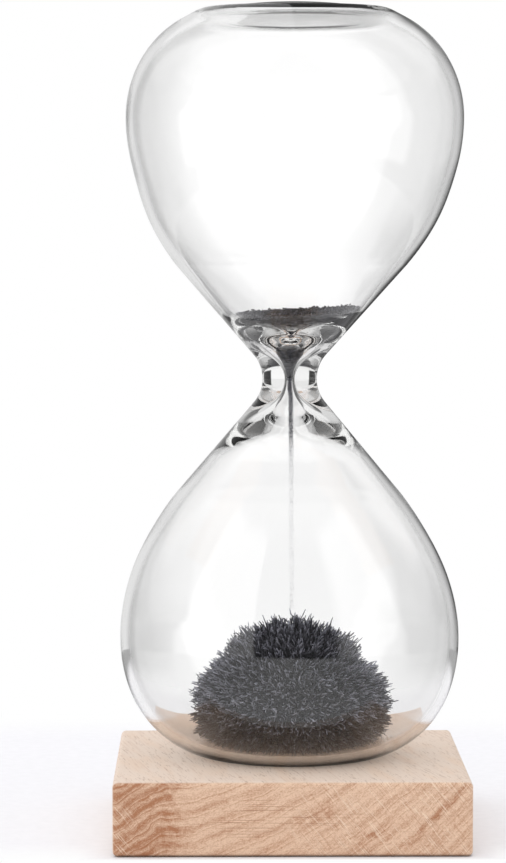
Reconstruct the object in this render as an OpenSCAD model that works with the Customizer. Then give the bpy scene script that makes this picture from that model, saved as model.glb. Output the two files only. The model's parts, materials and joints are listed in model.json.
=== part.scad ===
// Magnetic hourglass: a sealed twin-bulb glass with iron powder, standing loose on a beech block.
// The magnet hidden in the block pulls the fallen powder up into a spiky pile.
// Millimetres, Z up, origin at the middle of the block's underside, front towards -Y.

/* [Base block] */
// Width of the beech block
base_w = 60; // [50:0.5:80]
// Depth of the beech block
base_d = 60; // [50:0.5:80]
// Height of the beech block
base_h = 12.5; // [11:0.5:20]
// Rounding of the sanded edges
edge_r = 0.9; // [0.3:0.1:2]

/* [Magnet and plug] */
// Diameter of the disc magnet
magnet_dia = 32; // [20:1:44]
// Thickness of the disc magnet
magnet_t = 5; // [3:0.25:6.5]
// Wood left between the magnet and the top face
roof_t = 3; // [1.5:0.25:4.5]
// Slack between the pocket wall and the magnet
magnet_slack = 0.15; // [0.05:0.05:0.5]
// Slack between the pocket wall and the plug
plug_slack = 0.1; // [0.05:0.05:0.5]
// Chamfer on the plug's upper rim
plug_chamfer = 0.6; // [0.2:0.1:1]

/* [Glass bulbs] */
// Largest outside diameter of a bulb
bulb_dia = 58.4; // [48:0.2:68]
// Height from the waist to a bulb's widest ring
bulb_reach = 44.9; // [38:0.1:54]
// Height from the widest ring down to the standing foot
lower_foot_h = 20.7; // [17:0.1:26]
// Height from the widest ring up to the top foot
upper_foot_h = 19.9; // [17:0.1:26]
// Diameter of the flat on each foot
foot_dia = 24; // [16:0.5:32]
// Slope of the funnel walls, measured from the axis
funnel_angle = 41; // [32:0.5:50]
// Thickness of the blown wall
wall_t = 1.4; // [1:0.1:2]
// Thickness of the flattened feet
foot_t = 1.6; // [1:0.1:2.4]

/* [Neck and throat] */
// Outside diameter at the waist
neck_dia = 9.3; // [7.5:0.1:11.5]
// Outside rounding of the waist
neck_round = 6.3; // [5:0.1:8]
// Half of the length drawn as the thick neck
neck_half = 10.5; // [8:0.25:14]
// Diameter of the throat
throat_dia = 1.4; // [1.2:0.05:2]
// Rounding of the throat along its length
throat_round = 13; // [10:0.5:16]
// Angle at which the throat's flare ends
flare_angle = 29; // [23:0.5:35]
// Slope of the thick funnel floor, measured from the axis
floor_angle = 66; // [58:0.5:72]
// Length of the two rounded corners of the funnel floor
floor_blend = 1.4; // [0.6:0.1:1.8]

/* [Powder above the throat] */
// Height of the powder's middle above the waist
charge_h = 11.2; // [9:0.1:16]
// Tilt of the powder's surface
charge_tilt = 3; // [0:0.5:6]
// Diameter of the dimple above the throat
dimple_dia = 9; // [4:0.5:12]
// Depth of the dimple
dimple_h = 1.8; // [0.8:0.1:3]
// Gap kept between powder and glass
grain_gap = 0.15; // [0.1:0.05:0.3]
// Diameter of the clump of grains in the throat
clump_dia = 1; // [0.7:0.05:1.05]
// Gap kept above and below the clump
clump_gap = 0.2; // [0.1:0.05:0.4]

/* [Falling powder] */
// Diameter of the stream at the throat
stream_dia = 0.8; // [0.5:0.05:1]
// Diameter of the stream where it lands
stream_end_dia = 0.5; // [0.3:0.05:0.8]
// Gap between the stream's end and the top spike
stream_gap = 0.2; // [0.1:0.05:0.5]

/* [Spiky pile] */
// Distance from the pile's middle to its spike tips
pile_r = 17.2; // [14:0.1:20]
// Height of the pile's middle above the glass floor
pile_mid_h = 6; // [4:0.1:8]
// Length of the spikes
spike_len = 2.5; // [1.5:0.1:3.5]
// Depth of the ring-shaped dip below the crown
crown_dip = 1.5; // [0:0.1:2.5]
// Rings of spikes from the foot of the pile to its crown
spike_rows = 19; // [12:1:22]
// Spikes in each ring
spike_cols = 52; // [36:2:60]
// Chance seed of the spikes
spike_seed = 7; // [1:1:99]

/* [Hidden] */
$fn = 96;
waist_z = base_h + lower_foot_h + bulb_reach;
glass_top_z = waist_z + bulb_reach + upper_foot_h;
pocket_dia = magnet_dia + 2 * magnet_slack;
plug_t = base_h - roof_t - magnet_t;
plug_dia = pocket_dia - 2 * plug_slack;
bulb_r = bulb_dia / 2;
foot_r = foot_dia / 2;
neck_r = neck_dia / 2;
throat_r = throat_dia / 2;
arc_steps = 22;

// Outside of the waist: end of the rounding and start of the straight funnel
waist_end = [neck_r + neck_round * (1 - cos(funnel_angle)), neck_round * sin(funnel_angle)];
// Radius of the bulb's flank, tangent to the funnel and upright at the widest ring
flank_run = (bulb_reach - waist_end[1]) * sin(funnel_angle);
flank_rise = (bulb_r - waist_end[0]) * cos(funnel_angle);
flank_r = (flank_run - flank_rise) / (1 - cos(funnel_angle));
// Radius at which the straight inner wall would cross the waist plane
inner_cross = neck_r + neck_round * (1 - 1 / cos(funnel_angle)) - wall_t / cos(funnel_angle);
// End of the throat's flare, where the funnel floor starts
flare_end = [throat_r + throat_round * (1 - cos(flare_angle)), throat_round * sin(flare_angle)];
flare_out = flare_end + floor_blend * [sin(flare_angle), cos(flare_angle)];
floor_dir = [sin(floor_angle), cos(floor_angle)];
wall_dir = [sin(funnel_angle), cos(funnel_angle)];
// Height and radius at which the funnel floor meets the straight inner wall
corner_top = flare_out[0] - tan(floor_angle) * flare_out[1] - inner_cross;
corner_h = corner_top / (tan(funnel_angle) - tan(floor_angle));
floor_corner = [inner_cross + tan(funnel_angle) * corner_h, corner_h];

// Inside of the glass floor that carries the pile
floor_z = base_h + foot_t;
pile_z = floor_z + grain_gap;
pile_top_z = pile_z + pile_mid_h + pile_r;
charge_start = clump_dia / 2 + clump_gap;

// Points along an arc: middle, radius, first and last angle
function arc(c, r, a0, a1, n) = [
    for (i = [0 : n])
        let (a = a0 + (a1 - a0) * i / n)
        c + r * [cos(a), sin(a)]
];

// Points along a quarter oval: middle and half axes
function quarter_oval(c, rx, ry, n) = [
    for (i = [0 : n])
        c + [rx * cos(90 * i / n), ry * sin(90 * i / n)]
];

// Rounded corner from a to b around the corner point k
function rounded(a, k, b, n) = [
    for (i = [0 : n])
        let (t = i / n)
        (1 - t) * (1 - t) * a + 2 * t * (1 - t) * k + t * t * b
];

function flip(pts) = [for (p = pts) [p[0], -p[1]]];
function backwards(pts) = [for (i = [len(pts) - 1 : -1 : 0]) pts[i]];

// Outside of one half of the glass, from the waist to the rim of its foot
function outside(foot_h) = concat(
    arc([neck_r + neck_round, 0], neck_round, 180, 180 - funnel_angle, 12),
    arc([bulb_r - flank_r, bulb_reach], flank_r, -funnel_angle, 0, arc_steps),
    [
        for (i = [1 : arc_steps])
            quarter_oval([foot_r, bulb_reach], bulb_r - foot_r, foot_h, arc_steps)[i]
    ]
);

// Inside of the throat and the funnel floor, up to the straight inner wall
function throat_side() = concat(
    arc([throat_r + throat_round, 0], throat_round, 180, 180 - flare_angle, 12),
    [
        for (i = [1 : 6])
            rounded(flare_end, flare_out, flare_out + floor_blend * floor_dir, 6)[i]
    ],
    rounded(
        floor_corner - floor_blend * floor_dir,
        floor_corner,
        floor_corner + floor_blend * wall_dir, 6)
);

// Inside of one half of the glass, from the throat to the edge of the foot's inner flat
function inside(foot_h) = concat(
    throat_side(),
    arc([bulb_r - flank_r, bulb_reach], flank_r - wall_t, -funnel_angle, 0, arc_steps),
    [
        for (i = [1 : arc_steps])
            quarter_oval([foot_r, bulb_reach], bulb_r - foot_r - wall_t, foot_h - foot_t, arc_steps)[i]
    ]
);

// Cross-section of the upper half, from the waist up
function upper_half() = concat(
    outside(upper_foot_h),
    [
        [0, bulb_reach + upper_foot_h],
        [0, bulb_reach + upper_foot_h - foot_t]
    ],
    backwards(inside(upper_foot_h))
);

// Cross-section of the lower half, from the waist down
function lower_half() = flip(concat(
    outside(lower_foot_h),
    [
        [0, bulb_reach + lower_foot_h],
        [0, bulb_reach + lower_foot_h - foot_t]
    ],
    backwards(inside(lower_foot_h))
));

// Cross-section of both halves' inner ends, joined at the waist
function neck_outline() = concat(
    backwards(flip(outside(lower_foot_h))),
    [for (i = [1 : len(outside(upper_foot_h)) - 1]) outside(upper_foot_h)[i]],
    backwards(inside(upper_foot_h)),
    [for (i = [1 : len(inside(lower_foot_h)) - 1]) flip(inside(lower_foot_h))[i]]
);

// Square beech block with all edges sanded round and a blind pocket bored from below
module base_block() {
    color([0.86, 0.70, 0.55])
    difference() {
        hull() {
            for (x = [-1, 1])
                for (y = [-1, 1])
                    for (z = [edge_r, base_h - edge_r])
                        translate([x * (base_w / 2 - edge_r), y * (base_d / 2 - edge_r), z])
                            rounded_corner();
        }
        translate([0, 0, -1])
            cylinder(d = pocket_dia, h = base_h - roof_t + 1);
    }
}

// Small ball whose poles lie on the faces of the block
module rounded_corner() {
    rotate_extrude($fn = 24)
        polygon(arc([0, 0], edge_r, -90, 90, 12));
}

// Flat disc magnet against the roof of the pocket
module magnet() {
    color([0.22, 0.22, 0.24])
    translate([0, 0, plug_t])
        cylinder(d = magnet_dia, h = magnet_t);
}

// Disc that closes the pocket flush with the underside
module pocket_plug() {
    color([0.78, 0.64, 0.50])
    union() {
        cylinder(d = plug_dia, h = plug_t - plug_chamfer);
        translate([0, 0, plug_t - plug_chamfer])
            cylinder(d1 = plug_dia, d2 = plug_dia - 2 * plug_chamfer, h = plug_chamfer);
    }
}

// Standing bulb with its flattened foot
module lower_bulb() {
    color([0.90, 0.94, 0.95, 0.35])
    translate([0, 0, waist_z])
    rotate_extrude()
    intersection() {
        polygon(lower_half());
        translate([0, -2 * waist_z])
            square([2 * bulb_dia, 2 * waist_z - neck_half]);
    }
}

// Thick neck with the throat bored through it
module neck() {
    color([0.84, 0.90, 0.92, 0.45])
    translate([0, 0, waist_z])
    rotate_extrude()
    intersection() {
        polygon(neck_outline());
        translate([0, -neck_half])
            square([2 * bulb_dia, 2 * neck_half]);
    }
}

// Upper bulb, the same shape turned over
module upper_bulb() {
    color([0.90, 0.94, 0.95, 0.35])
    translate([0, 0, waist_z])
    rotate_extrude()
    intersection() {
        polygon(upper_half());
        translate([0, neck_half])
            square([2 * bulb_dia, 2 * waist_z]);
    }
}

// Points of the inner wall moved inwards by the gap that the grains keep
function grain_side(pts) = [
    for (i = [1 : len(pts) - 2])
        let (t = pts[i + 1] - pts[i - 1])
        pts[i] + grain_gap * [-t[1], t[0]] / norm(t)
];

// Powder that still lies in the funnel, tilted on top and dimpled above the throat
module upper_charge() {
    wall = grain_side(inside(upper_foot_h));
    side = [for (p = wall) if (p[1] > charge_start && p[1] < 2 * charge_h) p];
    color([0.24, 0.24, 0.26])
    translate([0, 0, waist_z])
    difference() {
        rotate_extrude()
            polygon(concat(
                [[0, charge_start], [side[0][0], charge_start]],
                side,
                [[0, side[len(side) - 1][1]]]
            ));
        translate([0, 0, charge_h])
            rotate([0, -charge_tilt, 0])
            translate([-bulb_dia, -bulb_dia, 0])
                cube([2 * bulb_dia, 2 * bulb_dia, 2 * bulb_reach]);
        translate([0, 0, charge_h - dimple_h])
            cylinder(d1 = 0.4, d2 = 3 * dimple_dia, h = 3 * dimple_h);
    }
}

// Ball of grains passing the narrowest point
module throat_clump() {
    color([0.20, 0.20, 0.22])
    translate([0, 0, waist_z])
        sphere(d = clump_dia);
}

// Thread of powder falling from the throat to the crown of the pile
module powder_stream() {
    start_z = pile_top_z + stream_gap;
    color([0.30, 0.30, 0.32])
    translate([0, 0, start_z])
        cylinder(d1 = stream_end_dia, d2 = stream_dia, h = waist_z - charge_start - start_z);
}

// Distance from the pile's middle to the spike tips at one elevation
function pile_reach(e) =
    pile_r - crown_dip * exp(-pow((e - 57) / 13, 2));

// Point of the pile at an azimuth, elevation and distance
function pile_point(a, e, r) = [
    r * cos(e) * cos(a),
    r * cos(e) * sin(a),
    pile_z + pile_mid_h + r * sin(e)
];

// Mound of powder drawn out into spikes along the magnet's field: one four-sided spike on every cell
module powder_pile() {
    low_e = -asin(pile_mid_h / (pile_r - spike_len));
    top_e = 86;
    cells = spike_rows * spike_cols;
    step = 360 / spike_cols;
    rise = (top_e - low_e) / spike_rows;
    side_chance = rands(-0.3, 0.3, cells, spike_seed);
    rise_chance = rands(-0.3, 0.3, cells, spike_seed + 1);
    long_chance = rands(0.45, 1.05, cells, spike_seed + 2);
    roots = [
        for (i = [0 : spike_rows])
            for (j = [0 : spike_cols - 1])
                let (e = low_e + rise * i)
                let (r = i == 0 ? pile_r - spike_len : pile_reach(e) - spike_len)
                i == 0
                    ? [for (k = [0 : 2]) k == 2 ? pile_z : pile_point(j * step, e, r)[k]]
                    : pile_point((j + 0.5 * (i % 2)) * step, e, r)
    ];
    tips = [
        for (i = [0 : spike_rows - 1])
            for (j = [0 : spike_cols - 1])
                let (n = i * spike_cols + j)
                let (e = low_e + rise * (i + 0.5 + rise_chance[n]))
                let (a = (j + 0.75 + 0.5 * (i % 2) + side_chance[n]) * step)
                let (r = pile_reach(e) - spike_len * (1 - long_chance[n]))
                let (p = pile_point(a, e, r))
                [p[0], p[1], max(p[2], pile_z + 0.1)]
    ];
    crown = [[0, 0, pile_top_z], [0, 0, pile_z]];
    points = concat(roots, tips, crown);
    tip0 = len(roots);
    crown0 = tip0 + len(tips);
    sides = [
        for (i = [0 : spike_rows - 1])
            for (j = [0 : spike_cols - 1])
                let (odd = i % 2)
                let (q = (j + 1) % spike_cols)
                let (a = i * spike_cols + j)
                let (b = i * spike_cols + q)
                let (c = (i + 1) * spike_cols + (odd == 1 ? q : j))
                let (d = (i + 1) * spike_cols + (odd == 1 ? (q + 1) % spike_cols : q))
                let (t = tip0 + a)
                each [[b, a, t], [a, c, t], [c, d, t], [d, b, t]]
    ];
    ends = [
        for (j = [0 : spike_cols - 1])
            let (q = (j + 1) % spike_cols)
            each [
                [j, q, crown0 + 1],
                [spike_rows * spike_cols + q, spike_rows * spike_cols + j, crown0]
            ]
    ];
    color([0.26, 0.26, 0.28])
        polyhedron(points = points, faces = concat(sides, ends), convexity = 8);
}

base_block();
magnet();
pocket_plug();
lower_bulb();
neck();
upper_bulb();
upper_charge();
throat_clump();
powder_stream();
powder_pile();
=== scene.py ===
import json
import math

import bpy
import numpy as np
from bpy.props import FloatProperty, FloatVectorProperty, IntProperty, PointerProperty
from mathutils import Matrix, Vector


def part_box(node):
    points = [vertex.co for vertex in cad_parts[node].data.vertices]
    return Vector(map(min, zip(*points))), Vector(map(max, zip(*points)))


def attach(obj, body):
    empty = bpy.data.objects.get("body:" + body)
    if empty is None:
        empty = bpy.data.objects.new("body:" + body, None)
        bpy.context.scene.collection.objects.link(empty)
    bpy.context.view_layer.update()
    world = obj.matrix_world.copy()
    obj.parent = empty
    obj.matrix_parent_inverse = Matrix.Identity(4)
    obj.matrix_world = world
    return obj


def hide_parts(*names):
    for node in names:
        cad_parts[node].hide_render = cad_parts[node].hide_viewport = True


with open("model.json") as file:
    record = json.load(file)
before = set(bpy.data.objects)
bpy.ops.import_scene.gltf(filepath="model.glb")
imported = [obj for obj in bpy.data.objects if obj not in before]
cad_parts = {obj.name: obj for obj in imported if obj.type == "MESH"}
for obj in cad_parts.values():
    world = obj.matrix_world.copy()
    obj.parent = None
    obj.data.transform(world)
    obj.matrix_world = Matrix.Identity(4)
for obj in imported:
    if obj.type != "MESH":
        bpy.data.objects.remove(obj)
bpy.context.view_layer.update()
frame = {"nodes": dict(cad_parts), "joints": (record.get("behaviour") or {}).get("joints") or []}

bl_info = {
    "name": "Magnetic hourglass",
    "version": (1, 0, 0),
    "blender": (4, 5, 0),
    "location": "3D View > Sidebar > Hourglass",
    "description": "Blown glass, iron powder and beech block of a magnetic hourglass",
    "category": "Object",
}

MM = 0.001
DEG = math.radians(1)
TURN = 2 * np.pi

# taken from the frame, in millimetres
NODES = frame["nodes"]
BLOCK_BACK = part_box("base_block")[1].y / MM
FOOT_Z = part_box("lower_bulb")[0].z / MM
BULB_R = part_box("lower_bulb")[1].y / MM
TOP_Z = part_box("upper_bulb")[1].z / MM
WAIST_Z = next(j for j in frame["joints"] if j["name"] == "turn_over")["pos_m"][2] / MM

# camera and table
CAMERA_AT = (-0.01253, -0.62818, 0.10996)
CAMERA_TURN = (90 - 3.736, 0, -0.565)
SENSOR = 36
TABLE_Y, TABLE_Z = -25, -0.02
WHITE = (1, 1, 1)

# fineness of the meshes
GLASS_SIDES, FUNNEL_SIDES, PILE_SIDES, TABLE_SIDES = 192, 192, 128, 128

# powder: the ball of the pile, the heap in the funnel and the ball of grains in the throat
PILE_RISE, PILE_BASE, PATTERN_R = 6.0, 14.7, 17
HEAP_H, HEAP_START, HEAP_GAP, HEAP_TILT = 11.4, 0.36, 0.05, math.tan(4.0 * DEG)
GRAIN_INSET, GRAIN_COUNT = 0.21, 3600
CLUMP_R, CLUMP_COUNT, STREAM_COUNT = 0.50, 420, 7600


# ---------------------------------------------------------------- settings

def colour_setting(name, description, default):
    return FloatVectorProperty(
        name=name, description=description, subtype="COLOR",
        size=3, min=0, max=1, default=default)


def length_setting(name, description, millimetres):
    return FloatProperty(
        name=name, description=description, unit="LENGTH", default=millimetres * MM)


def angle_setting(name, description, degrees):
    return FloatProperty(
        name=name, description=description, subtype="ANGLE", default=math.radians(degrees))


class BlockSettings(bpy.types.PropertyGroup):
    pale: colour_setting("Pale wood", "Early wood of the beech", (0.81, 0.58, 0.42))
    dark: colour_setting("Dark wood", "Late wood at the end of a ring", (0.43, 0.195, 0.10))
    face: colour_setting("Planed face", "Long-grain faces of the beech", (0.815, 0.67, 0.565))
    ring: length_setting(
        "Ring width", "Upright distance between growth rings on the end grain", 2.7)


class GlassSettings(bpy.types.PropertyGroup):
    reach: length_setting(
        "Bulb reach", "Height from the waist to a bulb's widest ring", 44.9)
    foot: length_setting("Foot", "Diameter of the flat on the standing foot", 24)
    crown: length_setting("Crown", "Diameter of the flat on the upper bulb", 23)
    shoulder: length_setting("Shoulder", "Rise of the ring that edges the crown's flat", 0.3)
    dome: length_setting(
        "Crown dome", "Rise of the crown's middle above the edge of its flat", 0.75)
    funnel: angle_setting("Funnel slope", "Slope of the funnel walls from the axis", 41)
    wall: length_setting("Wall", "Thickness of the blown wall", 1.4)
    foot_wall: length_setting("Foot wall", "Thickness of the flattened feet", 1.6)
    neck: length_setting("Neck", "Outside diameter at the waist", 9.4)
    neck_round: length_setting("Neck rounding", "Outside rounding of the waist", 6.3)
    throat: length_setting("Throat", "Diameter of the throat", 1.2)
    throat_round: length_setting(
        "Throat rounding", "Rounding of the throat above the waist", 8.5)
    flare: angle_setting("Flare end", "Angle at which the flare above the waist ends", 50.5)
    outlet_round: length_setting(
        "Outlet rounding", "Rounding of the throat below the waist", 9)
    outlet_flare: angle_setting(
        "Outlet flare end", "Angle at which the flare below the waist ends", 44)
    funnel_floor: angle_setting(
        "Funnel floor", "Slope of the thick upper funnel floor from the axis", 62)
    outlet_floor: angle_setting(
        "Outlet floor", "Slope of the thick floor below the waist from the axis", 57)
    floor_blend: length_setting(
        "Floor rounding", "Length of the rounding where the throat meets the floor", 0.8)
    taper: length_setting(
        "Wall taper", "Length over which the thick floor thins out into the wall", 3.6)
    lean: length_setting("Lean", "Sideways lean of the upper bulb's crown", 0.86)
    tint: colour_setting("Tint", "Colour of the glass mass", (0.72, 0.72, 0.70))


class PowderSettings(bpy.types.PropertyGroup):
    dark: colour_setting("Dark iron", "Shaded grains", (0.014, 0.014, 0.016))
    light: colour_setting("Bright iron", "Bright grains", (0.54, 0.54, 0.63))
    pile: length_setting(
        "Pile radius", "Distance from the pile's middle to its strand tips", 17.4)
    dip: length_setting("Crown dip", "Depth of the ring-shaped dip below the crown", 1.5)
    strands: IntProperty(
        name="Strands", description="Strands of powder on the pile", default=9000)
    seed: IntProperty(
        name="Chance seed", description="Seed of the strands and grains", default=11)


class StageSettings(bpy.types.PropertyGroup):
    floor: colour_setting("Floor", "Colour of the table", (0.87, 0.865, 0.895))
    radius: length_setting("Table radius", "Reach of the pale table round the object", 246)
    lens: FloatProperty(
        name="Lens", description="Focal length of the camera in mm", default=151.71)


# ---------------------------------------------------------------- meshes

def eased(z, low, high):
    """0 at low, 1 at high, with a level start and end between them."""
    t = np.clip((z - low) / (high - low), 0, 1)
    return t * t * (3 - 2 * t)


def hump(z, mid, half):
    """Bell curve of height 1 about mid."""
    return np.exp(-((z - mid) / half) ** 2)


def lean_at(z):
    """Sideways offset of the hand-blown axis: nothing at the waist, the lean over the upper bulb,
    a slight bow in the lower one and a little lean at the foot."""
    lean = bpy.context.scene.hourglass_glass.lean / MM
    bow = 0.3 * hump(z, WAIST_Z - 24, 13)
    foot = 0.25 * eased(z, FOOT_Z + 18, FOOT_Z)
    return lean * (eased(z, WAIST_Z + 8, WAIST_Z + 39) - bow + foot)


def bore_at(z):
    """Sideways offset of the hollow: the lean, and a thinner right wall in the upper funnel."""
    return lean_at(z) + 0.6 * hump(z, WAIST_Z + 13, 5)


def swell_at(z):
    """Hand-blown departure of the radius from the drawn curve: a fuller funnel and flatter flank
    above the waist, a flatter flank and a fuller foot below it."""
    above = (0.4 * hump(z, WAIST_Z + 15, 5) - 0.3 * hump(z, WAIST_Z + 34, 6)
             - 0.08 * eased(z, WAIST_Z + 30, WAIST_Z + 44))
    below = (0.15 * eased(z, WAIST_Z - 34, WAIST_Z - 44) - 0.6 * hump(z, WAIST_Z - 24.5, 8)
             + 0.25 * hump(z, WAIST_Z - 59, 7))
    return above + below


def swollen(r, z):
    """Radius r at height z with the swell, which fades out towards the neck."""
    return r + swell_at(z) * eased(r, 3, 12)


def waves(p, size, seed, count=24):
    """Smooth chance field of about -1 to 1: the sum of count sine waves of about the given size
    in chance directions, divided by the root of count."""
    rng = np.random.default_rng(seed)
    way = rng.normal(size=(count, p.shape[-1]))
    way /= np.linalg.norm(way, axis=1, keepdims=True)
    step = TURN / (size * rng.uniform(0.6, 1.6, count))
    turn = rng.uniform(0, TURN, count)
    total = np.sin((p @ way.T) * step + turn).sum(-1)
    return total / np.sqrt(count)


def around(sides):
    """Angles of evenly spaced points on a circle."""
    return np.arange(sides) * TURN / sides


def put(name, points, faces, material, smooth=True, tone=None):
    """Makes one mesh object at the origin from points in millimetres and a list of face arrays."""
    mesh = bpy.data.meshes.new(name)
    rows = [row for block in faces for row in np.asarray(block).tolist()]
    mesh.from_pydata((points * MM).tolist(), [], rows)
    mesh.polygons.foreach_set("use_smooth", np.full(len(rows), smooth))
    if tone is not None:
        mesh.attributes.new("tone", "FLOAT", "POINT").data.foreach_set(
            "value", tone.astype(np.float32))
    mesh.validate()
    mesh.materials.append(material)
    ob = bpy.data.objects.new(name, mesh)
    bpy.context.scene.collection.objects.link(ob)
    return ob


def grid_faces(rows, cols):
    """Quads of a rows x cols grid that closes on itself along its columns."""
    i, k = np.meshgrid(np.arange(rows - 1), np.arange(cols), indexing="ij")
    q = (k + 1) % cols
    low, high = i * cols, (i + 1) * cols
    return np.stack([low + k, low + q, high + q, high + k], -1).reshape(-1, 4)


def capped(ring_points, low, high):
    """Closed skin: rows of rings from low to high, each end drawn to one point.
    Faces point outwards where rows rise."""
    rows, cols, _ = ring_points.shape
    points = np.concatenate([ring_points.reshape(-1, 3), [low], [high]])
    k = np.arange(cols)
    q = (k + 1) % cols
    last = (rows - 1) * cols
    foot = np.stack([np.full(cols, rows * cols), q, k], -1)
    head = np.stack([np.full(cols, rows * cols + 1), last + k, last + q], -1)
    return points, [grid_faces(rows, cols), foot, head]


def revolved(profile, sides, shift):
    """Surface of revolution: (r cos a + shift(z), r sin a, z) for each (r, z) of the profile
    and each turn a."""
    a = around(sides)
    z = profile[1:-1, 1, None]
    r = swollen(profile[1:-1, 0, None], z)
    rings = np.stack([r * np.cos(a) + shift(z), r * np.sin(a), z + 0 * a], -1)
    ends = [(shift(profile[j, 1]), 0.0, profile[j, 1]) for j in (0, -1)]
    return capped(rings, *ends)


def arc(cx, cy, rx, ry, a0, a1, n):
    """Points of an oval arc about (cx, cy) from a0 to a1 degrees."""
    a = np.radians(np.linspace(a0, a1, n))
    return np.stack([cx + rx * np.cos(a), cy + ry * np.sin(a)], -1)


def corner(a, k, b, n):
    """Rounded corner from a to b about the corner point k: a square Bezier curve."""
    t = np.linspace(0, 1, n)[:, None]
    return (1 - t) ** 2 * np.array(a) + 2 * t * (1 - t) * np.array(k) + t * t * np.array(b)


def glass_sides(foot_h, foot, throat_bend, flare_end, floor, shoulder=0.0, dome=0.0):
    """Outside and inside of one half of the glass as (radius, distance from the waist),
    from the waist to the axis at the foot.
    Outside: waist rounding, straight funnel, flank upright at the widest ring, oval, flat foot.
    Inside: flared throat, thick funnel floor, wall parallel to the funnel, flank and oval set in.
    shoulder lifts a ring of the oval to the height of the flat, at most; dome raises the middle
    of the flat."""
    g = bpy.context.scene.hourglass_glass
    slope = math.degrees(g.funnel)
    reach, foot_r, wall, foot_t = g.reach / MM, foot / 2 / MM, g.wall / MM, g.foot_wall / MM
    neck_r, bend = g.neck / 2 / MM, g.neck_round / MM
    throat_r, throat_bend = g.throat / 2 / MM, throat_bend / MM
    s, c = math.sin(g.funnel), math.cos(g.funnel)
    end = (neck_r + bend * (1 - c), bend * s)
    flank = ((reach - end[1]) * s - (BULB_R - end[0]) * c) / (1 - c)
    flat = np.linspace(1, 0, 9)[1:, None]

    def bulb(wall, height):
        """Flank, oval and flat, set in by the wall, with the flat at the given height."""
        return [
            arc(BULB_R - flank, reach, flank - wall, flank - wall, -slope, 0, 60),
            arc(foot_r, reach, BULB_R - foot_r - wall, height, 0, 90, 64)[1:],
            np.concatenate([flat * foot_r, reach + height + dome * (1 - flat ** 2)], 1),
        ]

    out = np.concatenate([
        arc(neck_r + bend, 0, bend, bend, 180, 180 - slope, 26), *bulb(0.0, foot_h)])
    # cross: the wall's inside at the waist's height; knee: flare to floor; nook: floor to wall
    cross = neck_r + bend * (1 - 1 / c) - wall / c
    blend = g.floor_blend / MM
    fs, fc = math.sin(floor), math.cos(floor)
    es, ec = math.sin(flare_end), math.cos(flare_end)
    tip = np.array([throat_r + throat_bend * (1 - ec), throat_bend * es])
    knee = tip + blend * np.array([es, ec])
    high = (knee[0] - fs / fc * knee[1] - cross) / (s / c - fs / fc)
    nook = np.array([cross + s / c * high, high])
    run, wall_run = np.array([fs, fc]), np.array([s, c])
    taper = min(g.taper / MM, math.dist(knee, nook) - blend - 0.1)
    flare = arc(throat_r + throat_bend, 0, throat_bend, throat_bend,
                180, 180 - math.degrees(flare_end), 26)
    inn = np.concatenate([
        flare,
        corner(tip, knee, knee + blend * run, 9)[1:],
        corner(nook - taper * run, nook, nook + taper * wall_run, 17),
        *bulb(wall, foot_h - foot_t),
    ])
    for side, top in ((out, reach + foot_h), (inn, reach + foot_h - foot_t)):
        lift = shoulder * hump(side[:, 0], 16.0, 1.8) * (side[:, 1] > reach)
        raised = np.minimum(side[:, 1] + lift, top)
        side[:, 1] = np.where(side[:, 0] > foot_r, raised, side[:, 1])
    return out, inn


def upper_sides(foot_h, shoulder=0.0, dome=0.0):
    """Outside and inside of the upper half."""
    g = bpy.context.scene.hourglass_glass
    return glass_sides(foot_h, g.crown, g.throat_round, g.flare, g.funnel_floor, shoulder, dome)


def glass_profiles():
    """Outside and inside profile of the whole glass as (radius, height), from the lower axis
    point to the upper one."""
    g = bpy.context.scene.hourglass_glass
    reach, dome = g.reach / MM, g.dome / MM
    lower = glass_sides(
        WAIST_Z - FOOT_Z - reach, g.foot, g.outlet_round, g.outlet_flare, g.outlet_floor)
    upper = upper_sides(TOP_Z - WAIST_Z - reach - dome, g.shoulder / MM, dome)
    return [np.concatenate([(low * (1, -1))[::-1], up[1:]]) + (0, WAIST_Z)
            for low, up in zip(lower, upper)]


def strands(root, way, long, width, curl, tone):
    """Blunt kinked three-sided strands, closed at both ends: four rings about
    root + way * long * t + curl(t), painted shade at the root, painted light at the tip."""
    t = np.array([0, 0.45, 0.75, 1.0])
    thick = np.array([0.9, 1.0, 1.0, 0.65])
    # painted shade and light along each strand: dark at the root, brightest at the tip
    pale = [0.0, 0.25, 0.80, 1.5]
    middle = root[:, None] + way[:, None] * (long[:, None] * t)[..., None] + curl
    ref = np.where(np.abs(way[:, 2:]) < 0.9, [[0, 0, 1.0]], [[1.0, 0, 0]])
    u = np.cross(way, ref)
    u /= np.linalg.norm(u, axis=1, keepdims=True)
    v = np.cross(way, u)
    a = around(3)
    ring = np.cos(a)[None, :, None] * u[:, None] + np.sin(a)[None, :, None] * v[:, None]
    wide = width[:, None] * thick
    points = (middle[:, :, None] + ring[:, None] * wide[..., None, None]).reshape(-1, 3)
    start = (np.arange(len(root)) * 12)[:, None, None]
    sides = (start + grid_faces(4, 3)).reshape(-1, 4)
    ends = (start + np.array([(0, 2, 1), (9, 10, 11)])).reshape(-1, 3)
    shade = (tone[:, None] * np.repeat(pale, 3)).ravel()
    return points, [sides, ends], shade


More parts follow.
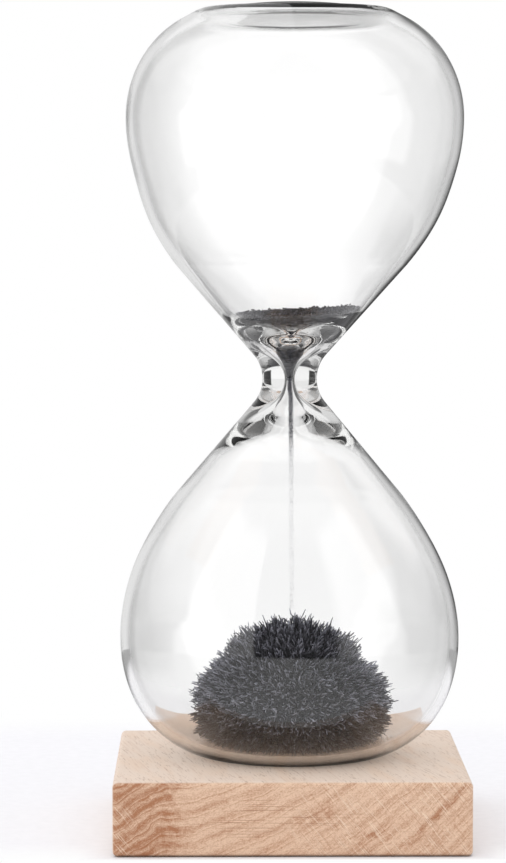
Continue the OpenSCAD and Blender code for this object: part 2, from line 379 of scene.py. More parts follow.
def grains(centre, size, seed):
    """Irregular eight-sided grains: six points a chance distance from each centre along turned
    axes."""
    rng = np.random.default_rng(seed)
    n = len(centre)
    q, _ = np.linalg.qr(rng.normal(size=(n, 3, 3)))
    reach = size[:, None, None] * rng.uniform(0.6, 1.25, (n, 3, 2))
    q[:, :, 2] = np.cross(q[:, :, 0], q[:, :, 1])
    ways = np.stack([q, -q], -1)
    points = centre[:, None, None] + (ways * reach[:, None]).transpose(0, 2, 3, 1)
    faces = np.array([(0, 2, 4), (2, 1, 4), (1, 3, 4), (3, 0, 4),
                      (2, 0, 5), (1, 2, 5), (3, 1, 5), (0, 3, 5)])
    tris = (np.arange(n)[:, None, None] * 6 + faces).reshape(-1, 3)
    return points.reshape(-1, 3), [tris]


# ---------------------------------------------------------------- node helpers

class Graph:
    """Short calls that add nodes to one tree and link them."""

    def __init__(self, tree):
        self.tree = tree

    def node(self, kind, inputs=None, **settings):
        n = self.tree.nodes.new(kind)
        for key, value in settings.items():
            setattr(n, key, value)
        for key, value in (inputs or {}).items():
            self.feed(n.inputs[key], value)
        return n

    def feed(self, socket, value):
        if isinstance(value, bpy.types.NodeSocket):
            self.tree.links.new(value, socket)
        elif socket.type == "RGBA" and len(value) == 3:
            socket.default_value = (*value, 1)
        else:
            socket.default_value = value

    def math(self, op, *values, clamp=False):
        n = self.node("ShaderNodeMath", dict(enumerate(values)), operation=op, use_clamp=clamp)
        return n.outputs[0]

    def chain(self, op, first, *rest):
        for value in rest:
            first = self.math(op, first, value)
        return first

    def plus(self, *values):
        return self.chain("ADD", *values)

    def times(self, *values):
        return self.chain("MULTIPLY", *values)

    def highest(self, *values):
        return self.chain("MAXIMUM", *values)

    def minus(self, a, b):
        return self.math("SUBTRACT", a, b)

    def size(self, value):
        return self.math("ABSOLUTE", value)

    def over(self, value, limit):
        return self.math("GREATER_THAN", value, limit)

    def step(self, value, low, high, out_low=0.0, out_high=1.0):
        return self.node("ShaderNodeMapRange", {
            "Value": value, "From Min": low, "From Max": high,
            "To Min": out_low, "To Max": out_high,
        }, interpolation_type="SMOOTHSTEP").outputs[0]

    def swing(self, value, low, high, out_low=0.0, out_high=1.0):
        """A step between two angles in degrees."""
        return self.step(value, low * DEG, high * DEG, out_low, out_high)

    def bell(self, value, mid, half):
        return self.step(self.size(self.minus(value, mid)), half, 0.0)

    def mix(self, share, a, b, blend="MIX"):
        n = self.node("ShaderNodeMix", data_type="RGBA", blend_type=blend)
        for key, value in (("Factor", share), (6, a), (7, b)):
            self.feed(n.inputs[key], value)
        return n.outputs[2]

    def choose(self, share, a, b):
        """a where share is 0, b where it is 1, as plain values."""
        n = self.node("ShaderNodeMix", data_type="FLOAT")
        for key, value in (("Factor", share), (2, a), (3, b)):
            self.feed(n.inputs[key], value)
        return n.outputs[0]

    def parts(self, vector):
        return self.node("ShaderNodeSeparateXYZ", {0: vector}).outputs

    def noise(self, vector, scale, detail=2.0, rough=0.5):
        return self.node("ShaderNodeTexNoise", {
            "Vector": vector, "Scale": scale, "Detail": detail, "Roughness": rough,
        }).outputs["Fac"]

    def stretched(self, a, b, c, detail=1, rough=0.5):
        """Noise over three coordinates. A pair is a coordinate and its scale."""
        scaled = [self.times(*v) if isinstance(v, tuple) else v for v in (a, b, c)]
        place = self.node("ShaderNodeCombineXYZ", dict(enumerate(scaled))).outputs[0]
        return self.noise(place, 1.0, detail, rough)

    def millimetres(self):
        place = self.node("ShaderNodeTexCoord").outputs["Object"]
        return self.node(
            "ShaderNodeMapping", {"Vector": place, "Scale": (1000, 1000, 1000)}).outputs[0]

    def bump(self, height, strength, distance):
        return self.node("ShaderNodeBump", {
            "Height": height, "Strength": strength, "Distance": distance}).outputs[0]

    def light_path(self):
        return self.node("ShaderNodeLightPath").outputs

    def principled(self, inputs):
        return self.node("ShaderNodeBsdfPrincipled", inputs).outputs[0]


def new_material(name):
    """An empty node material with its output node."""
    m = bpy.data.materials.new(name)
    m.use_nodes = True
    m.node_tree.nodes.clear()
    g = Graph(m.node_tree)
    return m, g, g.node("ShaderNodeOutputMaterial")


def group(name, inputs, outputs):
    """An empty node group with named sockets, or None if it is built already."""
    if name in bpy.data.node_groups:
        return None
    tree = bpy.data.node_groups.new(name, "ShaderNodeTree")
    for label, kind, default in inputs:
        s = tree.interface.new_socket(label, in_out="INPUT", socket_type=kind)
        if default is not None:
            s.default_value = default
    for label, kind in outputs:
        tree.interface.new_socket(label, in_out="OUTPUT", socket_type=kind)
    return Graph(tree)


FLOAT, COLOUR, VECTOR = "NodeSocketFloat", "NodeSocketColor", "NodeSocketVector"
SURFACE = [("Colour", COLOUR), ("Roughness", FLOAT), ("Height", FLOAT)]


def beech_grain():
    """Node group of beech. Ring coordinate d = z - lift(x) + warp, where lift climbs at a slope
    of 0.56, more at both ends; late wood darkens each ring up to its edge, rays cross the rings,
    saw lines run level; planed faces carry flecks along the grain. All lengths in millimetres."""
    g = group("beech_grain", [
        ("Place", VECTOR, None), ("Pale", COLOUR, None), ("Dark", COLOUR, None),
        ("Face", COLOUR, None), ("Ring", FLOAT, 2.1), ("End grain", FLOAT, 1.0),
    ], SURFACE)
    if g is None:
        return bpy.data.node_groups["beech_grain"]
    times, plus, minus, stretched = g.times, g.plus, g.minus, g.stretched
    src = g.node("NodeGroupInput").outputs
    x, y, z = g.parts(src["Place"])
    pale, dark = src["Pale"], src["Dark"]
    ray_colour, saw_colour = (0.94, 0.78, 0.62), (0.33, 0.145, 0.075)
    fleck_colour = (0.40, 0.25, 0.165)
    # rings
    right_bend = times(g.math("POWER", g.highest(x, 0.0), 2.0), 0.0075)
    left_bend = times(g.math("MINIMUM", plus(x, 5.0), 0.0), -0.18)
    lift = plus(times(x, 0.56), right_bend, left_bend, times(g.bell(x, -22.5, 7.0), 1.9))
    flow = g.node("ShaderNodeCombineXYZ", {0: x, 1: times(y, 0.05), 2: z}).outputs[0]
    slow = times(minus(g.noise(flow, 0.075, 1), 0.5), 3.0)
    lively = minus(g.noise(flow, 0.30, 1), 0.5)
    livelier = plus(0.8, times(g.step(x, -18, -24), 1.6))
    d = plus(minus(z, lift), slow, times(lively, livelier))
    turn = g.math("DIVIDE", d, src["Ring"])
    along = plus(times(x, 0.86), times(z, 0.5))
    strong = g.step(stretched((along, 0.09), 2.0, (d, 0.45), 2), 0.40, 0.64)
    soft = minus(0.5, times(g.math("COSINE", times(plus(turn, 0.2), 2 * math.pi)), 0.5))
    sharp = g.math("POWER", g.math("FRACT", turn), 3.0)
    late = plus(times(soft, 0.60), times(sharp, 0.55))
    frayed = plus(x, times(minus(g.noise(flow, 0.7, 2), 0.5), 8.0))
    ragged = g.step(frayed, -17.5, -22.0)
    share = times(late, plus(0.56, times(strong, 0.46), times(ragged, 0.56)))
    # brown streaks: one along a ring at the right, blotches in the middle
    ring_streak = times(g.bell(d, -10.5, 1.7), g.step(x, 12, 18))
    rise = plus(minus(z, times(x, 0.41)), lively)
    mid_streak = times(g.bell(rise, 5.2, 1.6), g.bell(x, 4.0, 8.0))
    low_streak = times(g.bell(plus(z, lively), 3.8, 1.2), g.bell(x, 12.6, 4.5))
    streak = g.highest(ring_streak, mid_streak, low_streak)
    blot = g.step(stretched((along, 0.35), 3.0, (d, 0.9), 2), 0.36, 0.62)
    cloudy = g.step(g.noise(flow, 0.14, 2), 0.45, 0.75, 0.0, 0.16)
    share = plus(share, times(streak, blot, 0.5),
                 times(ragged, plus(0.12, times(blot, 0.24))), cloudy)
    # fibres, pores, rays and saw lines
    fibre = stretched((x, 3.4), (y, 0.5), (z, 3.4), 3, 0.7)
    strand = stretched((along, 1.1), 5.0, (d, 4.6), 2, 0.7)
    share = plus(share, times(minus(fibre, 0.55), 1.5))
    share = g.math("ADD", share, times(minus(strand, 0.52), 1.4), clamp=True)
    end = g.mix(share, pale, dark)
    pore = g.step(stretched((x, 5.0), (y, 0.4), (z, 5.0)), 0.66, 0.74)
    end = g.mix(times(pore, 0.5), end, dark)
    rayed = g.highest(g.step(x, -4, 6), g.step(x, -25, -28))
    down = plus(times(x, 0.77), times(z, 0.64))
    slide = minus(times(x, 0.64), times(z, 0.77))
    groups = times(g.step(stretched((down, 0.42), 11.0, (slide, 0.10)), 0.40, 0.52), rayed)
    ray = g.step(stretched((down, 7.5), (y, 0.05), (slide, 0.30)), 0.58, 0.66)
    end = g.mix(times(ray, groups, 0.50), end, ray_colour)
    shifted = plus(times(down, 6.0), 40.0)
    scratch = g.step(stretched(shifted, (y, 0.05), (slide, 0.20)), 0.60, 0.68)
    end = g.mix(times(scratch, rayed, 0.34), end, dark)
    saw = g.step(stretched((x, 0.06), 7.0, (z, 5.0)), 0.58, 0.68)
    saw = times(saw, g.highest(times(g.bell(x, -5.0, 20.0), g.bell(z, 6.6, 5.5)), 0.2))
    end = g.mix(times(saw, 0.75), end, saw_colour)
    # planed faces: pale, with short dark flecks along the slightly slanted grain
    across = plus(x, times(y, 0.19))
    fleck = g.step(stretched((across, 4.2), (y, 0.32), (z, 3.0), 2, 0.6), 0.57, 0.70)
    cloud = stretched((across, 0.3), (y, 0.07), (z, 0.3), 2)
    planed = g.mix(g.step(cloud, 0.45, 0.75, 0.0, 0.35), src["Face"], pale)
    planed = g.mix(times(fleck, 0.55), planed, fleck_colour)
    stripe = stretched((across, 2.0), (y, 0.05), (z, 2.0), 2, 0.6)
    planed = g.mix(g.step(stripe, 0.5, 0.8, 0.0, 0.25), planed, dark)
    g.node("NodeGroupOutput", {
        "Colour": g.mix(src["End grain"], planed, end),
        "Roughness": plus(0.52, times(fibre, 0.2)),
        "Height": minus(times(fibre, 0.5), plus(times(fleck, 0.2), times(saw, 0.3))),
    })
    return g.tree


def iron_grain():
    """Node group of iron powder: dark and bright grains by a fine noise, lifted by the piece's
    own tone."""
    g = group("iron_grain", [
        ("Place", VECTOR, None), ("Tone", FLOAT, 0.5), ("Dark", COLOUR, None),
        ("Light", COLOUR, None), ("Grain", FLOAT, 4.0),
    ], SURFACE)
    if g is None:
        return bpy.data.node_groups["iron_grain"]
    src = g.node("NodeGroupInput").outputs
    speck = g.noise(src["Place"], src["Grain"], 3, 0.7)
    bright = g.step(speck, 0.42, 0.68)
    own = g.times(src["Tone"], 0.8, g.plus(0.5, bright))
    share = g.math("ADD", own, g.times(bright, 0.10), clamp=True)
    g.node("NodeGroupOutput", {
        "Colour": g.mix(share, src["Dark"], src["Light"]),
        "Roughness": g.step(speck, 0.3, 0.7, 0.6, 0.35),
        "Height": speck,
    })
    return g.tree


def beech_material(name, end_grain):
    """Beech for one piece. end_grain is true where the end grain is on the front and back, false
    for a turned disc. The lower edge gets painted shade, and the wood gets painted shade as seen
    through the glass and in the mirror of its foot."""
    s = bpy.context.scene.hourglass_block
    m, g, out = new_material(name)
    place = g.millimetres()
    x, y, z = g.parts(place)
    on_end = g.step(g.size(y), BLOCK_BACK - 0.75, BLOCK_BACK - 0.25) if end_grain else 0.0
    n = g.node("ShaderNodeGroup", {
        "Place": place, "Pale": s.pale, "Dark": s.dark, "Face": s.face, "Ring": s.ring / MM,
        "End grain": on_end,
    }, node_tree=beech_grain()).outputs
    path = g.light_path()
    # painted shade: the middle of the wood turns nearly black in reflections off the glass foot,
    # where it is not seen through the glass
    unbent = g.math("LESS_THAN", path["Transmission Depth"], 0.5)
    mirrored = g.times(g.over(path["Glossy Depth"], 0.5), unbent,
                       g.step(g.size(x), 20, 12, 0.0, 0.8))
    # painted shade: the wood darkens towards its bottom edge, as a contact shadow
    colour = g.mix(g.step(z, 0.6, 0.15, 0.0, 0.65), n["Colour"], (0.10, 0.055, 0.03))
    # painted shade: the wood is darker and warmer as seen through the glass
    shaded_through_glass = g.over(path["Transmission Depth"], 0.5)
    colour = g.mix(shaded_through_glass, colour, (0.82, 0.76, 0.71), "MULTIPLY")
    colour = g.mix(mirrored, colour, (0.02, 0.015, 0.01))
    g.feed(out.inputs["Surface"], g.principled({
        "Base Color": colour, "Roughness": n["Roughness"],
        "Normal": g.bump(n["Height"], 0.25, 0.0002), "Specular IOR Level": 0.25}))
    return m


def iron_material(name, grain, own_tone):
    """Iron powder. own_tone reads the piece's tone attribute, else a middle tone."""
    s = bpy.context.scene.hourglass_powder
    m, g, out = new_material(name)
    n = g.node("ShaderNodeGroup", {
        "Place": g.millimetres(), "Dark": s.dark, "Light": s.light, "Grain": grain,
    }, node_tree=iron_grain())
    if own_tone:
        tone = g.node("ShaderNodeAttribute", attribute_name="tone").outputs["Fac"]
        g.feed(n.inputs["Tone"], tone)
    n = n.outputs
    g.feed(out.inputs["Surface"], g.principled({
        "Base Color": n["Colour"], "Roughness": n["Roughness"],
        "Normal": g.bump(n["Height"], 0.6, 0.00015),
        "Metallic": 0.35, "Specular IOR Level": 0.15}))
    return m


def glass_material():
    """Clear blown glass: bent light, a faint grey mass, slow waves in the skin. Shadow and diffuse
    rays pass straight through."""
    s = bpy.context.scene.hourglass_glass
    m, g, out = new_material("blown_glass")
    wave = g.noise(g.millimetres(), 0.05, 2, 0.4)
    glass = g.principled({
        "Normal": g.bump(wave, 0.05, 0.002), "Base Color": WHITE, "Roughness": 0.0,
        "IOR": 1.47, "Transmission Weight": 1.0})
    path = g.light_path()
    clear = g.node("ShaderNodeBsdfTransparent").outputs[0]
    share = g.highest(path["Is Shadow Ray"], path["Is Diffuse Ray"])
    both = g.node("ShaderNodeMixShader", {0: share, 1: glass, 2: clear})
    g.feed(out.inputs["Surface"], both.outputs[0])
    mass = g.node("ShaderNodeVolumeAbsorption", {"Color": s.tint, "Density": 20.0})
    g.feed(out.inputs["Volume"], mass.outputs[0])
    return m


def ferrite_material():
    """Pressed ferrite of the magnet: nearly black, fine pits."""
    m, g, out = new_material("pressed_ferrite")
    pit = g.noise(g.millimetres(), 6.0, 3, 0.7)
    colour = g.mix(g.step(pit, 0.35, 0.7), (0.020, 0.020, 0.022), (0.075, 0.073, 0.072))
    g.feed(out.inputs["Surface"], g.principled({
        "Base Color": colour, "Roughness": g.step(pit, 0.3, 0.7, 0.65, 0.4),
        "Normal": g.bump(pit, 0.4, 0.0001)}))
    return m


def dress(node, material):
    """Gives a carried-over CAD node its material and slot."""
    ob = NODES[node]
    ob.data.materials.clear()
    ob.data.materials.append(material)


# ---------------------------------------------------------------- operators

class HOURGLASS_OT_stage(bpy.types.Operator):
    """Camera, pale table and plain soft studio light"""
    bl_idname = "hourglass.stage"
    bl_label = "Stage"

    def execute(self, context):
        s = context.scene.hourglass_stage
        context.scene.view_settings.view_transform = "Standard"
        cam = bpy.data.cameras.new("camera")
        cam.lens = s.lens
        cam.sensor_width = SENSOR
        cam.clip_start, cam.clip_end = 0.01, 20
        ob = bpy.data.objects.new("camera", cam)
        ob.location = CAMERA_AT
        ob.rotation_euler = [math.radians(v) for v in CAMERA_TURN]
        context.scene.collection.objects.link(ob)
        context.scene.camera = ob
        cycles = context.scene.cycles
        cycles.max_bounces, cycles.glossy_bounces = 24, 12
        cycles.transmission_bounces, cycles.transparent_max_bounces = 24, 16
        self.world(context)
        self.table(s)
        return {"FINISHED"}

    def world(self, context):
        """Studio by direction: white for the camera, two soft panels for reflections, a white wall
        through the glass, even light on matt surfaces."""
        world = bpy.data.worlds.new("studio")
        context.scene.world = world
        world.use_nodes = True
        world.node_tree.nodes.clear()
        g = Graph(world.node_tree)
        path = g.light_path()
        x, y, z = g.parts(g.node("ShaderNodeTexCoord").outputs["Generated"])
        matt = g.plus(0.88, g.minus(g.times(z, 0.36), g.times(x, 0.22)))
        bent = self.bent_light(g, x, y, z)
        mirrored = self.mirrored_light(g, x, y, z, path["Transmission Depth"])
        clear = g.choose(g.over(path["Glossy Depth"], 0.5), bent, mirrored)
        sent = g.highest(path["Is Glossy Ray"], path["Is Transmission Ray"])
        light = g.choose(path["Is Camera Ray"], g.choose(sent, matt, clear), 1.0)
        sky = g.node("ShaderNodeBackground", {"Color": WHITE, "Strength": light})
        g.node("ShaderNodeOutputWorld", {"Surface": sky.outputs[0]})

    def mirrored_light(self, g, x, y, z, depth):
        """Two upright panels in a dark room, the white wall far behind. turn is 0 towards the
        camera's side and 180 degrees straight behind the object."""
        turn = g.math("ARCTAN2", x, g.times(y, -1))
        wide = g.size(turn)
        narrow = g.step(z, 0.0, 0.2, 0.0, 10 * DEG)
        left = g.times(g.swing(g.minus(turn, narrow), -89, -85), g.swing(turn, -24.5, -26))
        right_edge = g.plus(turn, g.times(narrow, 0.4))
        right = g.times(g.swing(right_edge, 88, 84), g.swing(turn, 28, 40))
        rise = g.times(g.step(z, -0.36, -0.32), g.step(z, 0.88, 0.80))
        panel = g.times(g.plus(left, right), rise)
        # the wall gives the glass a pale left rim, and a right rim with a dark line outside
        left_rim = g.swing(turn, -145, -152, 0.0, 0.7)
        line = g.step(z, -0.08, 0.0, -1.5, -0.85)
        right_rim = g.times(g.swing(turn, 155, 168, 0.35, line), g.swing(turn, 138, 148))
        behind = g.plus(g.swing(wide, 105, 145), left_rim, right_rim)
        # bright high and low for light that has crossed the skin twice
        slant = g.times(g.swing(wide, 105, 125), g.step(g.size(z), 0.20, 0.42), 2.2,
                        g.math("COMPARE", depth, 2.0, 0.5))
        return g.plus(0.10, g.times(panel, 1.05), g.times(g.highest(behind, slant), 0.40))

    def bent_light(self, g, x, y, z):
        """White wall, brighter higher up and towards its middle, dark gaps at its sides, dim above
        and below. back is 0 straight behind the object."""
        back = g.math("ARCTAN2", x, y)
        wide = g.size(back)
        high = g.step(z, -0.10, -0.02)
        low = g.minus(1.0, high)
        middle = g.times(g.swing(wide, 4.8, 2.2), g.plus(0.05, g.times(high, 0.09)))
        wall = g.plus(1.02, g.times(high, 0.01), middle)
        band = g.times(g.step(z, -0.125, -0.09), g.step(z, -0.02, -0.06, 0.0, 0.10))
        sides = g.plus(
            g.swing(back, -4, -7, 0.0, 0.06),
            g.times(g.swing(back, 4.6, 5.5), g.plus(band, g.times(low, 0.07))),
            g.times(g.swing(back, -2.1, -2.6, 0.0, 0.055), low))
        brink = g.times(g.step(z, -0.10, -0.125, 0.0, 0.07), g.swing(wide, 2.5, 5))
        wall = g.minus(wall, g.plus(sides, brink))
        gap = g.times(g.swing(wide, 30, 33), g.swing(wide, 66, 60),
                      g.step(g.size(z), 0.40, 0.30))
        dim = g.plus(gap, g.step(z, -0.58, -0.70, 0.0, 0.60), g.step(z, 0.58, 0.72, 0.0, 0.80))
        return g.times(wall, g.minus(1.0, g.math("MINIMUM", dim, 0.95)))

    def table(self, s):
        """Round pale table that fades to white at its rim and keeps the object's soft shadow."""
        rows = 16
        a = around(TABLE_SIDES)
        r = np.linspace(0, s.radius / MM, rows + 1)[1:, None]
        rings = np.stack([r * np.cos(a), r * np.sin(a) + TABLE_Y, 0 * r * a + TABLE_Z], -1)
        points = np.concatenate([rings.reshape(-1, 3), [(0, TABLE_Y, TABLE_Z)]])
        k = np.arange(TABLE_SIDES)
        fan = np.stack([np.full(TABLE_SIDES, rows * TABLE_SIDES), k, (k + 1) % TABLE_SIDES], -1)
        m, g, out = new_material("pale_table")
        place = g.millimetres()
        x, y, _ = g.parts(place)
        wide = g.size(x)
        path = g.light_path()
        bent = g.over(path["Transmission Depth"], 0.5)
        speck = g.step(g.noise(place, 0.5, 3, 0.6), 0.3, 0.7)
        colour = g.mix(speck, s.floor, tuple(min(1, c * 1.03) for c in s.floor))
        # painted shade: the lit table is a little darker as seen through the glass
        colour = g.mix(bent, colour, (0.92, 0.92, 0.90), "MULTIPLY")
        matt = g.principled({"Base Color": colour, "Roughness": 0.8, "Specular IOR Level": 0.1})
        # white away from the object. Painted shade and light in the glass and in mirrors: the glow
        # there is darker towards the sides and, in mirrors, towards the back, and a touch brighter
        # in the middle
        beside = g.times(g.step(y, -14, -36), g.step(wide, 31, 37))
        far = g.highest(g.step(wide, 70, 140), g.step(y, 100, 135), beside,
                        g.step(y, -30.1, -33))
        seen = g.highest(path["Is Camera Ray"], path["Is Glossy Ray"], path["Is Transmission Ray"])
        painted_glow_shift = g.times(g.step(wide, 15, 55, 0.03, -0.14), g.minus(1.0, path["Is Camera Ray"]))
        mirrored = g.times(g.over(path["Glossy Depth"], 0.5), g.step(y, -40, -5, 0.06, 0.45))
        glow = g.node("ShaderNodeEmission", {
            "Color": WHITE, "Strength": g.plus(1.0, g.minus(painted_glow_shift, mirrored))}).outputs[0]
        both = g.node("ShaderNodeMixShader", {0: g.times(far, seen), 1: matt, 2: glow})
        g.feed(out.inputs["Surface"], both.outputs[0])
        faces = [grid_faces(rows, TABLE_SIDES)[:, ::-1], fan]
        put("table", points, faces, m)


class HOURGLASS_OT_block(bpy.types.Operator):
    """Beech block with its magnet and plug"""
    bl_idname = "hourglass.block"
    bl_label = "Beech block"

    def execute(self, context):
        dress("base_block", beech_material("beech", True))
        dress("pocket_plug", beech_material("beech_disc", False))
        dress("magnet", ferrite_material())
        return {"FINISHED"}


class HOURGLASS_OT_glass(bpy.types.Operator):
    """Blown glass in one piece: two bulbs and the thick neck"""
    bl_idname = "hourglass.glass"
    bl_label = "Blown glass"

    def execute(self, context):
        outer, inner = glass_profiles()
        points, faces = revolved(outer, GLASS_SIDES, lean_at)
        hollow, hollow_faces = revolved(inner, GLASS_SIDES, bore_at)
        faces = faces + [f[:, ::-1] + len(points) for f in hollow_faces]
        ob = put("blown_glass", np.concatenate([points, hollow]), faces, glass_material())
        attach(ob, "glass")
        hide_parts("lower_bulb", "neck", "upper_bulb")
        return {"FINISHED"}


class HOURGLASS_OT_pile(bpy.types.Operator):
    """Pile of fallen powder, drawn out into tufts of strands by the magnet"""
    bl_idname = "hourglass.pile"
    bl_label = "Spiked pile"

    def reach(self, turn, rise):
        """Distance from the pile's middle to the strand tips, and the way there: a ball, dipped in
        a ring below the crown, drawn in at the crown and the foot, uneven by chance."""
        s = bpy.context.scene.hourglass_powder
        e = np.degrees(rise)
        flat = np.cos(rise)
        way = np.stack([flat * np.cos(turn), flat * np.sin(turn), np.sin(rise)], -1)
        ball = s.pile / MM - s.dip / MM * hump(e, 35, 11) - eased(e, 30, 60)
        ball = ball - 1.1 * eased(e, -4, -24)
        return ball + 0.2 * waves(way * PATTERN_R, 6.0, s.seed + 5), way

    def core(self, s, mid, low, floor_z):
        """Closed skin under the strands: rows from the foot to the crown."""
        turn = around(PILE_SIDES)
        rise = np.linspace(low, np.radians(88), 40)[:, None]
        far, way = self.reach(turn + 0 * rise, rise + 0 * turn)
        skin = mid + way * (far - 2.3)[..., None]
        skin += 0.25 * waves(skin, 1.6, s.seed + 8)[..., None] * way
        skin[..., 2] = np.maximum(skin[..., 2], floor_z)
        skin[0, :, 2] = floor_z
        return capped(skin, (0, 0, floor_z), mid + (0, 0, 14.9))

    def hair(self, s, mid, low, floor_z):
        """Strands on an even spiral over the ball. Neighbours lean and reach together; those near
        the foot and on the crown get painted shade."""
        rng = np.random.default_rng(s.seed)
        n = s.strands
        k = (np.arange(n) + 0.5) / n
        sin_low = np.sin(low) * 1.02
        rise = np.arcsin(sin_low + (1 - sin_low) * k) + rng.normal(0, 0.015, n)
        rise = np.clip(rise, low, np.pi / 2)
        turn = np.arange(n) * math.pi * (3 - math.sqrt(5)) + rng.normal(0, 0.02, n)
        far, way = self.reach(turn, rise)
        spot = way * PATTERN_R
        tuft = np.stack([waves(spot, 1.7, s.seed + j) for j in (30, 31, 32)], -1)
        sag = np.array([0, 0, 0.35]) * np.clip(0.1 - rise, 0, 1)[:, None]
        lean = way + 0.16 * tuft + rng.normal(0, 0.17, (n, 3)) - sag
        lean /= np.linalg.norm(lean, axis=1, keepdims=True)
        far = far + 0.62 * waves(spot, 2.0, s.seed + 33) - 0.72 + rng.normal(0, 0.44, n)
        long = rng.uniform(2.2, 3.2, n)
        kink = np.array([0, 0.6, 1, 1])[:, None]
        curl = np.cumsum(rng.normal(0, 0.17, (n, 4, 3)) * kink, axis=1)
        width = rng.uniform(0.07, 0.15, n)
        # no strand goes below the floor
        room = floor_z + 0.15
        root = mid + way * far[:, None] - lean * long[:, None]
        root[:, 2] = np.maximum(root[:, 2], room)
        drop = root[:, 2] + lean[:, 2] * long + curl[:, 3, 2] - room
        curl[:, 3, 2] -= np.minimum(drop, 0)
        tone = 0.62 + 0.28 * waves(spot, 1.1, s.seed + 34) + rng.normal(0, 0.45, n)
        # painted shade: the tone darkens near the pile's foot, up to a line that is higher at the
        # sides than at the front and back, and on the crown
        shade_line = -1.5 + 5.0 * (1 - np.abs(way[:, 1]))
        foot_shade = 1 - 0.72 * eased(spot[:, 2] - shade_line, 1.0, -1.2)
        crown_shade = 1 - 0.32 * eased(np.degrees(rise), 30, 46)
        tone = np.clip(tone, 0.0, 1.8) * (foot_shade * crown_shade)
        points, faces, shade = strands(root, lean, long, width, curl, tone)
        points[:, 2] = np.maximum(points[:, 2], floor_z + 0.01)
        return points, faces, shade

    def execute(self, context):
        s = context.scene.hourglass_powder
        floor_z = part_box("powder_pile")[0].z / MM
        mid = np.array([0.4, 0, floor_z + PILE_RISE])
        low = -np.arcsin(PILE_RISE / PILE_BASE)
        core, core_faces = self.core(s, mid, low, floor_z)
        hair, hair_faces, shade = self.hair(s, mid, low, floor_z)
        faces = core_faces + [f + len(core) for f in hair_faces]
        ob = put("spiked_pile", np.concatenate([core, hair]), faces,
                 iron_material("iron_strands", 5.0, True), False,
                 np.concatenate([np.zeros(len(core)), shade]))
        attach(ob, "glass")
        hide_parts("powder_pile")
        return {"FINISHED"}


class HOURGLASS_OT_charge(bpy.types.Operator):
    """Powder that still lies in the upper funnel"""
    bl_idname = "hourglass.charge"
    bl_label = "Funnel powder"

    def level(self, place):
        """Height of the tilted surface above the waist, and its unevenness by chance."""
        seed = bpy.context.scene.hourglass_powder.seed
        lumps = 0.14 * waves(place, 2.6, seed + 20) + 0.12 * waves(place, 0.7, seed + 21)
        return HEAP_H + HEAP_TILT * place[..., 0], lumps

    def surface(self, place):
        """Height of the surface with the dimple above the throat."""
        level, lumps = self.level(place)
        return level - np.exp(-(place ** 2).sum(-1) / 9) + lumps

    def execute(self, context):
        s = context.scene.hourglass_powder
        rng = np.random.default_rng(s.seed + 19)
        # any foot height will do, because only the funnel is used
        inner = upper_sides(20.0)[1]

        def inside(h):
            """Inside radius of the funnel at a height above the waist."""
            return np.interp(h, inner[:, 1], inner[:, 0])

        turn = around(FUNNEL_SIDES)
        circle = np.stack([np.cos(turn), np.sin(turn)], -1) * (inside(HEAP_H) - HEAP_GAP)
        level, lumps = self.level(circle)
        rim = level + lumps
        # wall: from the throat up to the ragged rim, along the inside of the glass
        h = HEAP_START + (rim - HEAP_START) * np.linspace(0, 1, 48)[:, None]
        r = swollen(inside(h), h + WAIST_Z) - HEAP_GAP
        wall = np.stack([r * np.cos(turn), r * np.sin(turn), h], -1)
        # top: from the rim to the dimple above the throat
        u = np.linspace(1, 0.02, 44)[1:, None]
        flat = np.stack([r[-1] * u * np.cos(turn), r[-1] * u * np.sin(turn)], -1)
        top = np.concatenate([flat, self.surface(flat)[..., None]], -1)
        # foot: hollowed like the ball of grains in the throat below it
        ball = 0.6
        f = np.linspace(0.08, 0.50, 6)[:, None]
        dent = np.sqrt(ball ** 2 - f ** 2) + 0 * turn
        foot = np.stack([f * np.cos(turn), f * np.sin(turn), dent], -1)
        skin = np.concatenate([foot, wall, top])
        skin[..., 2] += WAIST_Z
        skin[..., 0] += bore_at(skin[..., 2])
        peak = (bore_at(WAIST_Z + HEAP_H), 0, skin[-1, :, 2].mean())
        points, faces = capped(skin, (0, 0, WAIST_Z + ball), peak)
        tone = np.clip(0.03 + 0.10 * waves(points, 0.6, s.seed + 24), 0, 1)
        # loose grains strewn over the top
        n = GRAIN_COUNT
        far, a = np.sqrt(rng.uniform(0, 1, n)), rng.uniform(0, TURN, n)
        far = far * (np.interp(a, turn, r[-1], period=TURN) - GRAIN_INSET)
        spot = np.stack([far * np.cos(a), far * np.sin(a)], -1)
        z = self.surface(spot) + rng.uniform(-0.05, 0.26, n) ** 2 * 4 + WAIST_Z
        loose = np.stack([spot[:, 0] + bore_at(z), spot[:, 1], z], -1)
        # and grains along the glass
        side = rng.uniform(0.25, 0.985, n)
        a = rng.integers(0, len(turn), n)
        h = side * (rim[a] - HEAP_START) + HEAP_START
        z = h + WAIST_Z
        far = swollen(inside(h), z) - HEAP_GAP - GRAIN_INSET
        lined = np.stack([far * np.cos(turn[a]) + bore_at(z), far * np.sin(turn[a]), z], -1)
        bits, bit_faces = grains(
            np.concatenate([loose, lined]), rng.uniform(0.11, 0.25, 2 * n), s.seed + 25)
        bit_tone = np.repeat(np.clip(rng.normal(0.0, 0.24, 2 * n), 0, 1.2), 6)
        faces = faces + [f + len(points) for f in bit_faces]
        ob = put("funnel_powder", np.concatenate([points, bits]), faces,
                 iron_material("iron_heap", 5.0, True), False, np.concatenate([tone, bit_tone]))
        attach(ob, "glass")
        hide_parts("upper_charge")
        return {"FINISHED"}


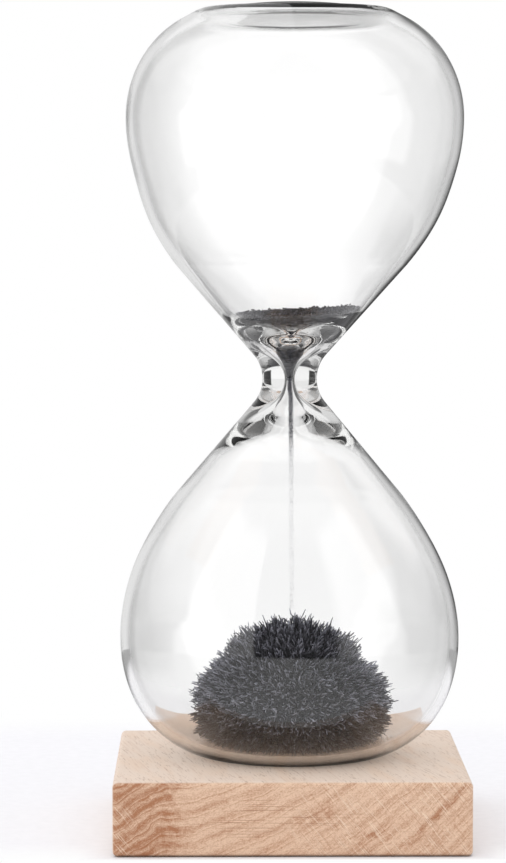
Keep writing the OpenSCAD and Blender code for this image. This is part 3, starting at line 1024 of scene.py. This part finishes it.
class HOURGLASS_OT_grains(bpy.types.Operator):
    """Loose grains: the clump in the throat and the falling stream"""
    bl_idname = "hourglass.grains"
    bl_label = "Falling grains"

    def execute(self, context):
        s = context.scene.hourglass_powder
        rng = np.random.default_rng(s.seed + 40)
        material = iron_material("iron_grains", 9.0, False)
        # throat: grains packed in a ball about the waist
        n = CLUMP_COUNT
        ball = rng.normal(size=(n, 3))
        far = CLUMP_R * rng.uniform(0.05, 1, n) ** 0.35
        ball *= (far / np.linalg.norm(ball, axis=1))[:, None]
        points, faces = grains(ball + (0, 0, WAIST_Z), rng.uniform(0.06, 0.085, n), s.seed + 41)
        clump = put("throat_grains", points, faces, material, False)
        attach(clump, "throat")
        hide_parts("throat_clump")
        # stream: dense below the throat, then ever thinner and wider, hollowed round the clump
        n = STREAM_COUNT
        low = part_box("powder_stream")[0].z / MM + 0.1
        drop = np.linspace(0, WAIST_Z - low, 400)
        dense = 0.075 + 1.9 * np.exp(-(drop / 8.5) ** 2) + 0.16 * np.exp(-drop / 14)
        share = np.cumsum(dense)
        fall = np.interp(rng.uniform(0, share[-1], n), share, drop)
        reach = np.interp(fall, [0, 1.5, 9, 20, 40], [0.40, 0.42, 0.44, 0.48, 0.48])
        spread = reach * np.sqrt(rng.uniform(0, 1, n))
        a = rng.uniform(0, TURN, n)
        dent = np.sqrt(np.maximum(0.64 ** 2 - spread ** 2, 0)) * np.exp(-fall / 3)
        drift = 0.17 * eased(fall, 0.8, 4) + 0.006 * fall
        centre = np.stack(
            [spread * np.cos(a) + drift, spread * np.sin(a), WAIST_Z - fall - dent], -1)
        points, faces = grains(centre, rng.uniform(0.03, 0.05, n), s.seed + 42)
        stream = put("falling_grains", points, faces, material, False)
        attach(stream, "glass")
        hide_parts("powder_stream")
        return {"FINISHED"}


class HOURGLASS_PT_panel(bpy.types.Panel):
    bl_idname = "HOURGLASS_PT_panel"
    bl_label = "Hourglass"
    bl_space_type = "VIEW_3D"
    bl_region_type = "UI"
    bl_category = "Hourglass"

    def draw(self, context):
        for op in OPERATORS:
            self.layout.operator(op.bl_idname)
        for name, _ in SETTINGS:
            box = self.layout.box()
            settings = getattr(context.scene, name)
            for key in settings.bl_rna.properties.keys():
                if key not in ("rna_type", "name"):
                    box.prop(settings, key)


OPERATORS = (
    HOURGLASS_OT_stage, HOURGLASS_OT_block, HOURGLASS_OT_glass,
    HOURGLASS_OT_pile, HOURGLASS_OT_charge, HOURGLASS_OT_grains,
)
SETTINGS = (
    ("hourglass_block", BlockSettings), ("hourglass_glass", GlassSettings),
    ("hourglass_powder", PowderSettings), ("hourglass_stage", StageSettings),
)


def register():
    for name, kind in SETTINGS:
        bpy.utils.register_class(kind)
        setattr(bpy.types.Scene, name, PointerProperty(type=kind))
    for kind in (*OPERATORS, HOURGLASS_PT_panel):
        bpy.utils.register_class(kind)


def unregister():
    for kind in (HOURGLASS_PT_panel, *reversed(OPERATORS)):
        bpy.utils.unregister_class(kind)
    for name, kind in reversed(SETTINGS):
        delattr(bpy.types.Scene, name)
        bpy.utils.unregister_class(kind)


def main():
    register()
    bpy.ops.hourglass.stage()
    bpy.ops.hourglass.block()
    bpy.ops.hourglass.glass()
    bpy.ops.hourglass.pile()
    bpy.ops.hourglass.charge()
    bpy.ops.hourglass.grains()


if __name__ == "__main__":
    main()
